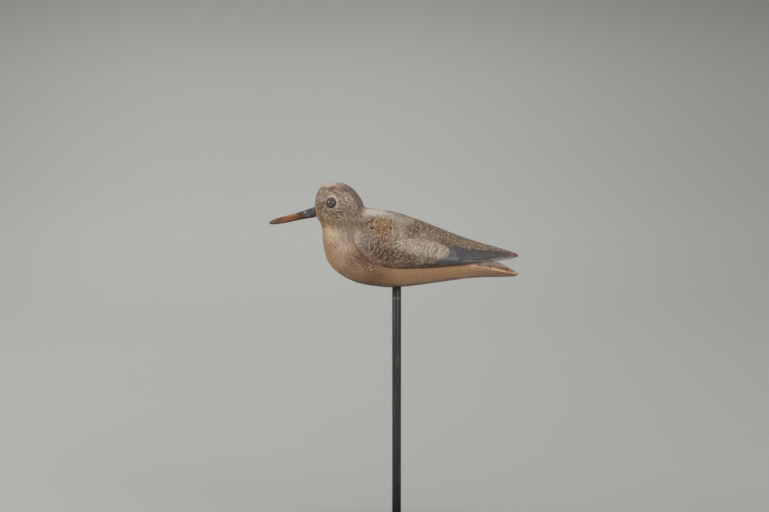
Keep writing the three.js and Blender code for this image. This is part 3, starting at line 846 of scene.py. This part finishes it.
def plumage_material():
    """Brush strokes and scribbles over the underpaint, along the way the brush went."""
    g = Graph("painted_plumage")
    place = g.place()
    across = g.attribute("across", "Vector")
    streaks = g.attribute("streaks")
    dots = g.attribute("dots")
    stipple = g.times(g.attribute("stipple"), g.ramp(dots, 0.0, 1.0, 1.0, 0.3))
    patches = g.noise(place, 110.0, 3.0)
    tints = g.noise(place, 170.0, 2.0)
    pressure = g.noise(place, 430.0, 0.0)
    dotting = g.noise(place, 640.0, 1.0)
    fine = g.noise(place, 1500.0, 2.0)
    astray = g.vector("SUBTRACT", g.noise(place, 230.0, 0.0, "Color"), (0.5, 0.5, 0.5))
    hairs = g.strokes(g.vector("MULTIPLY_ADD", astray, (1.6, 1.6, 1.6), across))
    scribble = g.strokes(g.vector("MULTIPLY_ADD", astray, (6.0, 6.0, 6.0), across))

    base = g.attribute("underpaint", "Color")
    worn = g.ramp(g.math("ADD", streaks, stipple), 0.2, 0.6, 0.1, 1.0)
    base = g.mix(g.times(g.ramp(patches, 0.35, 0.65, 0.0, 0.22), worn), base, srgb("#5c4a3c"))
    base = g.mix(g.times(g.ramp(tints, 0.35, 0.65, 0.0, 0.14), worn), base, srgb("#a67b4c"))
    dark = g.tinted(base, (0.27, 0.22, 0.19))
    light = g.mix(0.2, g.tinted(base, (1.5, 1.48, 1.44)), srgb("#efe4d3"))
    dark_hair = g.times(g.ramp(hairs, 0.5, 0.36), streaks)
    light_hair = g.times(g.ramp(hairs, 0.52, 0.64), streaks)
    dark_scribble = g.times(g.ramp(scribble, 0.5, 0.38), stipple)
    light_scribble = g.times(g.ramp(scribble, 0.55, 0.66), stipple)
    dark_dots = g.times(g.ramp(dotting, 0.5, 0.38), dots)
    light_dots = g.times(g.ramp(dotting, 0.53, 0.66), dots)
    pressed = g.ramp(pressure, 0.38, 0.55)
    lifted = g.ramp(pressure, 0.62, 0.45)
    colour = g.mix(g.times(g.math("MAXIMUM", dark_hair, dark_scribble), pressed), base, dark)
    colour = g.mix(g.times(g.math("MAXIMUM", light_hair, light_scribble), lifted), colour, light)
    colour = g.mix(dark_dots, colour, dark)
    colour = g.mix(g.times(light_dots, 0.8), colour, light)
    colour = g.mix(g.ramp(fine, 0.35, 0.6, 0.15, 0.0), colour, srgb("#2c221c"))
    height = g.math("ADD", g.times(hairs, streaks), g.times(scribble, stipple))
    height = g.math("MULTIPLY_ADD", fine, 0.3, height)
    height = g.math("MULTIPLY_ADD", dotting, dots, height)
    g.surface(
        Base_Color=colour,
        Roughness=g.ramp(patches, 0.3, 0.7, 0.45, 0.62),
        Normal=g.bump(height, 0.35, 0.15 * MM),
        Specular_IOR_Level=0.35,
    )
    return g.material


def make_bird():
    """The carving. It returns how far out the face is at the eyes."""
    bird = carved_block()
    remesh_evenly(bird)
    smooth_block(bird)
    out = shape_details(bird)
    paint_bird(bird)
    dress(bird, plumage_material())
    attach(bird, "root")
    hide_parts("decoy_body")
    return out


# The bill

def bill_material():
    """Brown from the tip and black toward the face. Its places are in hundredths."""
    g = Graph("painted_bill")
    x = g.math("DIVIDE", g.along("X"), SHARE)
    z = g.math("DIVIDE", g.math("SUBTRACT", g.along("Z"), BELLY), SHARE)
    above_middle = g.math("SUBTRACT", g.math("MULTIPLY_ADD", x, -0.24, z), 38.1)
    grain = g.noise(g.stretched(18, 0.012, 0.0016), 1.0, 3.0)
    blotch = g.noise(g.place(), 260.0, 3.0)
    shifted = g.math("ADD", x, g.times(g.math("SUBTRACT", blotch, 0.5), 3.6))
    wood = g.mix(g.ramp(grain, 0.35, 0.65), srgb("#683d1f"), srgb("#8a5930"))
    upper = g.times(g.ramp(above_middle, 0, 1), g.ramp(shifted, -46, -43))
    wood = g.mix(g.times(upper, 0.5), wood, srgb("#a8743f"))
    wood = g.mix(g.ramp(shifted, -47, -49.5), wood, srgb("#685241"))
    wood = g.mix(g.ramp(shifted, -40.5, -38.5), wood, srgb("#54392a"))
    # Darker along the bill's lower side: partly a dark lower edge, partly painted shade.
    wood = g.mix(g.ramp(above_middle, -0.7, -1.5, 0.0, 0.7), wood, srgb("#2c2018"))
    black = g.mix(g.ramp(blotch, 0.35, 0.7), srgb("#3d3f43"), srgb("#625f5b"))
    # The black part, too, is darker on its lower side, partly as painted shade.
    black = g.mix(g.ramp(above_middle, -0.7, -1.6, 0.0, 0.6), black, srgb("#202326"))
    colour = g.mix(g.ramp(shifted, -37.4, -35.9), wood, black)
    chip_place = (-36.8 * SHARE, 0, BELLY + 30.1 * SHARE)
    chip = g.vector("DISTANCE", g.tinted(g.place(), (1, 0, 1)), chip_place, output="Value")
    colour = g.mix(g.ramp(chip, 1.7 * MM, 0.4 * MM, 0.0, 0.65), colour, srgb("#b0a199"))
    g.surface(
        Base_Color=colour,
        Roughness=g.ramp(blotch, 0.3, 0.7, 0.35, 0.5),
        Normal=g.bump(grain, 0.3, 0.1 * MM),
    )
    return g.material


def middle_of(row):
    return (row[0:2] + row[2:4]) / 2


def resized(row, centre, share):
    """A section, moved to a new centre and made smaller."""
    ends = [centre + (end - middle_of(row)) * share for end in (row[0:2], row[2:4])]
    return np.hstack([*ends, row[4:7] * share])


def make_bill():
    """The bill, rounded at its tip and let into the face with a tenon."""
    half = np.array(BILL_HALF_WIDTHS)[:, None] * BILL_WIDTH / 2 / SHARE * np.ones(3)
    rows = smooth_rows(np.hstack([BILL_TOP, BILL_BOTTOM, half]), STEPS_PER_RIB)
    tip = np.array(BILL_TIP)
    nose = []
    for degrees in range(10, 90, 10):
        turn = math.radians(degrees)
        centre = tip + (middle_of(rows[0]) - tip) * (1 - math.cos(turn))
        nose.append(resized(rows[0], centre, math.sin(turn)))
    face = middle_of(rows[-1])
    inward = face - middle_of(rows[-2])
    inward *= BILL_TENON_LENGTH / SHARE / np.hypot(*inward)
    root = resized(rows[-1], face + inward, BILL_TENON_TAPER)
    rings = section_rings(np.vstack([nose, rows, root]), count=64, fullness=1.0)
    bill = skin("carved_bill", rings, first=np.array([tip[0], 0, tip[1]]))
    dress(bill, bill_material())
    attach(bill, "root")
    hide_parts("bill")


# The glass eyes

def eye_material():
    g = Graph("brown_glass")
    radius = g.attribute("from_axis")
    cloud = g.noise(g.place(), 500.0, 2.0)
    iris = g.mix(g.ramp(radius, 0.2, 0.9), srgb("#54423e"), srgb("#3a2c27"))
    iris = g.mix(g.ramp(radius, 0.9, 1.0), iris, srgb("#1f1714"))
    iris = g.mix(g.ramp(cloud, 0.35, 0.65, 0.0, 0.35), iris, srgb("#2c1f1a"))
    g.surface(
        Base_Color=iris,
        Roughness=g.ramp(cloud, 0.3, 0.7, 0.2, 0.24),
        Specular_IOR_Level=1.0,
    )
    return g.material


def make_eye(name, node, side, out):
    radius = EYE_DIAMETER / 2
    profile = [(0, -EYE_SEAT_DEPTH), (radius * 0.94, -EYE_SEAT_DEPTH), (radius, -EYE_SEAT_DEPTH * 0.8)]
    for step in range(17):
        lift = step / 16 * math.pi / 2
        profile.append((radius * math.cos(lift), EYE_BULGE * math.sin(lift)))
    profile[-1] = (0, EYE_BULGE)
    points, faces = lathe(profile, count=72)
    reach = np.hypot(points[:, 0], points[:, 1]) / radius
    turn = Vector(eye_axis(side)).to_track_quat("Z", "Y").to_matrix()
    points = points @ np.array(turn).T + eye_centre(side, out)
    eye = outward(mesh_object(name, points, faces))
    add_layer(eye.data, "from_axis", reach)
    dress(eye, eye_material())
    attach(eye, "root")
    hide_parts(node)


# The stand

def steel_material():
    """Dark paint, scuffed along the rod and worn just below the belly."""
    g = Graph("black_steel")
    scuffs = g.noise(g.stretched(90, 0.02, 0.0015), 1.0, 3.0)
    fine = g.noise(g.place(), 700.0, 3.0)
    colour = g.mix(g.ramp(scuffs, 0.5, 0.75), srgb("#282829"), srgb("#434241"))
    from_ring = g.math("ABSOLUTE", g.math("SUBTRACT", g.along("Z"), BELLY - 4.3 * SHARE))
    worn = g.times(g.ramp(from_ring, 2.2 * MM, 0.6 * MM), g.ramp(fine, 0.4, 0.55))
    colour = g.mix(g.times(worn, 0.6), colour, srgb("#6d6c68"))
    g.surface(
        Base_Color=colour,
        Roughness=g.ramp(fine, 0.3, 0.7, 0.3, 0.45),
        Normal=g.bump(fine, 0.15, 0.05 * MM),
    )
    return g.material


def make_stand():
    steel = steel_material()
    low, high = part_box("stand_rod")
    radius = (high.x - low.x) / 2
    bevel = 0.5 * MM
    profile = [
        (0, low.z), (radius - bevel, low.z), (radius, low.z + bevel), (radius, high.z - bevel),
        (radius - bevel, high.z), (0, high.z),
    ]
    rod = outward(mesh_object("steel_rod", *lathe(profile, count=96)))
    low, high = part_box("stand_base")
    radius = (high.x - low.x) / 2
    edge = 2 * MM
    corner = []
    for degrees in range(90, -1, -10):
        turn = math.radians(degrees)
        corner.append((radius - edge + edge * math.sin(turn), high.z - edge + edge * math.cos(turn)))
    profile = [(0, low.z), (radius - edge / 2, low.z), (radius, low.z + edge / 2), *corner, (0, high.z)]
    plate = outward(mesh_object("foot_plate", *lathe(profile, count=160)))
    for piece, node in ((rod, "stand_rod"), (plate, "stand_base")):
        dress(piece, steel)
        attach(piece, "root")
        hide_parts(node)


# Stage, lights and camera

STAGE_RADIUS = 6.0
FLOOR_RADIUS = 3.0
CURVE_HEIGHT = 3.5
WALL_HEIGHT = 6.0
LIGHT_AIM = Vector((0, 0, 0.3))
GLOW_BELOW, GLOW_ABOVE = 0.42, 0.56

# How pale the backdrop is, by its distance from the bird. This is painted shade: darker near the bird's
# foot, palest out on the floor, and darker again up the wall.
BACKDROP_SHADES = [
    (0.2, 0.45), (0.6, 0.51), (1.1, 0.565), (1.85, 0.635), (3.0, 0.705), (3.8, 0.72), (4.45, 0.665),
    (4.65, 0.635), (4.8, 0.58), (4.95, 0.49), (6.0, 0.41),
]


def backdrop_material():
    g = Graph("pale_backdrop")
    from_axis = g.vector("LENGTH", g.tinted(g.place(), (1, 1, 0)), output="Value")
    ramp = g.tree.nodes.new("ShaderNodeValToRGB")
    for radius, shade in BACKDROP_SHADES:
        stop = ramp.color_ramp.elements.new(radius / STAGE_RADIUS)
        stop.color = (shade, shade * 1.005, shade * 0.955, 1)
    g.put(ramp.inputs[0], g.math("DIVIDE", from_axis, STAGE_RADIUS))
    # Painted shade toward the sides: darker to the right and a little to the left.
    across = g.along("X")
    side = g.times(g.ramp(across, -0.2, 1.6, 1.0, 0.62), g.ramp(across, -1.8, -0.6, 0.72, 1.0))
    g.surface(Base_Color=g.tinted(ramp.outputs[0], side), Roughness=0.9)
    return g.material


def make_stage():
    """A pale floor that curves up into a wall all round. It is open at the top."""
    profile = [(FLOOR_RADIUS * share, 0) for share in (0, 0.001, 0.33, 0.66, 1.0)]
    for step in range(1, 25):
        turn = step / 24 * math.pi / 2
        radius = FLOOR_RADIUS + (STAGE_RADIUS - FLOOR_RADIUS) * math.sin(turn)
        profile.append((radius, CURVE_HEIGHT * (1 - math.cos(turn))))
    profile += [(STAGE_RADIUS, WALL_HEIGHT), (0, WALL_HEIGHT)]
    points, faces = lathe(profile, count=128)
    top = len(points) - 1
    stage = mesh_object("studio", points[:top], [face for face in faces if top not in face])
    dress(stage, backdrop_material())
    stage.visible_diffuse = False
    stage.visible_shadow = False


def soft_light(name, azimuth, elevation, distance, size, power, mirrored=True, lit=True):
    """A square soft light that points at the bird. Azimuth 0 is the camera's side.

    Gloss mirrors it if it is mirrored, and it lights matt paint if it is lit.
    """
    a, e = math.radians(azimuth), math.radians(elevation)
    away = Vector((math.sin(a) * math.cos(e), -math.cos(a) * math.cos(e), math.sin(e)))
    data = bpy.data.lights.new(name, "AREA")
    data.size = size
    data.energy = power
    light = bpy.data.objects.new(name, data)
    light.location = LIGHT_AIM + away * distance
    light.rotation_euler = away.to_track_quat("Z", "Y").to_euler()
    light.visible_glossy = mirrored
    light.visible_diffuse = lit
    bpy.context.scene.collection.objects.link(light)


def make_lights():
    soft_light("left_light", -62, 27, 2.8, 1.1, 22)
    soft_light("right_light", 35, 27, 2.8, 1.1, 15)
    soft_light("catch_light", 35, 27, 2.8, 1.1, 10, lit=False)
    soft_light("front_light", -6, 12, 3.6, 2.0, 18, mirrored=False)
    soft_light("top_light", -20, 75, 3.0, 1.6, 14, mirrored=False)
    world = bpy.data.worlds.new("studio_air")
    world.use_nodes = True
    tree = world.node_tree
    height = tree.nodes.new("ShaderNodeSeparateXYZ")
    tree.links.new(tree.nodes.new("ShaderNodeTexCoord").outputs["Generated"], height.inputs[0])
    glow = tree.nodes.new("ShaderNodeMapRange")
    glow.inputs["From Min"].default_value = -1
    glow.inputs["To Min"].default_value = GLOW_BELOW
    glow.inputs["To Max"].default_value = GLOW_ABOVE
    tree.links.new(height.outputs["Z"], glow.inputs["Value"])
    tree.links.new(glow.outputs[0], tree.nodes["Background"].inputs["Strength"])
    tree.nodes["Background"].inputs["Color"].default_value = (1, 1, 1, 1)
    bpy.context.scene.world = world
    bpy.context.scene.view_settings.view_transform = "Standard"


def make_camera():
    """At the photograph's viewing angle: level with the bird's side and a little above it."""
    aim = Vector((-12.2 * MM, 0, 292.4 * MM))
    distance = 2.1
    elevation = math.radians(3.5)
    data = bpy.data.cameras.new("camera")
    data.sensor_width = 36
    data.lens = 98.03
    camera = bpy.data.objects.new("camera", data)
    camera.location = aim + distance * Vector((0, -math.cos(elevation), math.sin(elevation)))
    camera.rotation_euler = Euler((math.pi / 2 - elevation, 0, 0))
    bpy.context.scene.collection.objects.link(camera)
    bpy.context.scene.camera = camera


make_camera()
make_stage()
make_lights()
face_out = make_bird()
make_bill()
make_eye("near_eye", "glass_eye_left", -1, face_out)
make_eye("far_eye", "glass_eye_right", 1, face_out)
make_stand()
